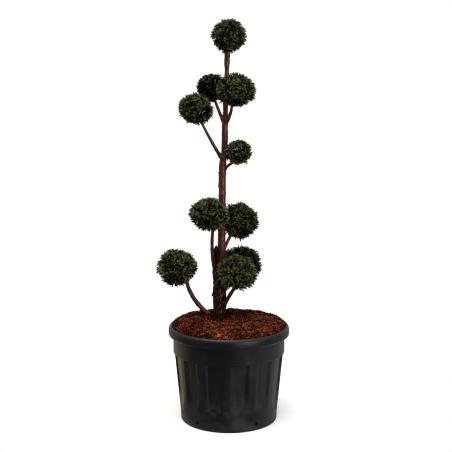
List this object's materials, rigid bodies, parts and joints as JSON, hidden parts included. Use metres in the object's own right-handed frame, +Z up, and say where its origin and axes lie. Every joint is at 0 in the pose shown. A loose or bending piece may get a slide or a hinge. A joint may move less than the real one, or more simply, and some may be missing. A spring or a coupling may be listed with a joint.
{
  "type": "potted yew ball topiary",
  "caption": "Yew shrub trained as a topiary, with clipped balls of needles on boughs off one trunk, standing in a ribbed nursery pot filled with bark mulch.",
  "frame": {"origin": "centre of the pot's flat underside", "axes": "+Z up along the trunk, -Y to the front as pictured, +X to the right"},
  "size_m": [0.5696, 0.5196, 1.71],
  "materials": {
    "pot_plastic": "satin black plastic, dusty",
    "bark_mulch": "fine reddish bark chips, dull",
    "trunk_bark": "reddish-brown bark, dark and rough near the foot",
    "bough_bark": "smooth reddish-brown bark",
    "dead_wood": "dark weathered wood",
    "yew_foliage": "dark green needles with olive tips"
  },
  "bodies": {
    "root": {"pot": "pot_plastic", "soil": "bark_mulch", "trunk": "trunk_bark", "dead_stub": "dead_wood", "bough_upper_back": "bough_bark", "bough_upper_front": "bough_bark", "bough_upper_left": "bough_bark", "bough_middle_right": "bough_bark", "bough_lower_left": "bough_bark", "bough_lower_right": "bough_bark", "bough_side_left": "bough_bark", "bough_bottom_front": "bough_bark", "bough_bottom_back": "bough_bark", "ball_top": "yew_foliage", "ball_upper_back": "yew_foliage", "ball_upper_front": "yew_foliage", "ball_upper_left": "yew_foliage", "ball_middle_right": "yew_foliage", "ball_lower_left": "yew_foliage", "ball_lower_right": "yew_foliage", "ball_side_left": "yew_foliage", "ball_bottom_front": "yew_foliage", "ball_bottom_back": "yew_foliage"}
  },
  "joints": []
}
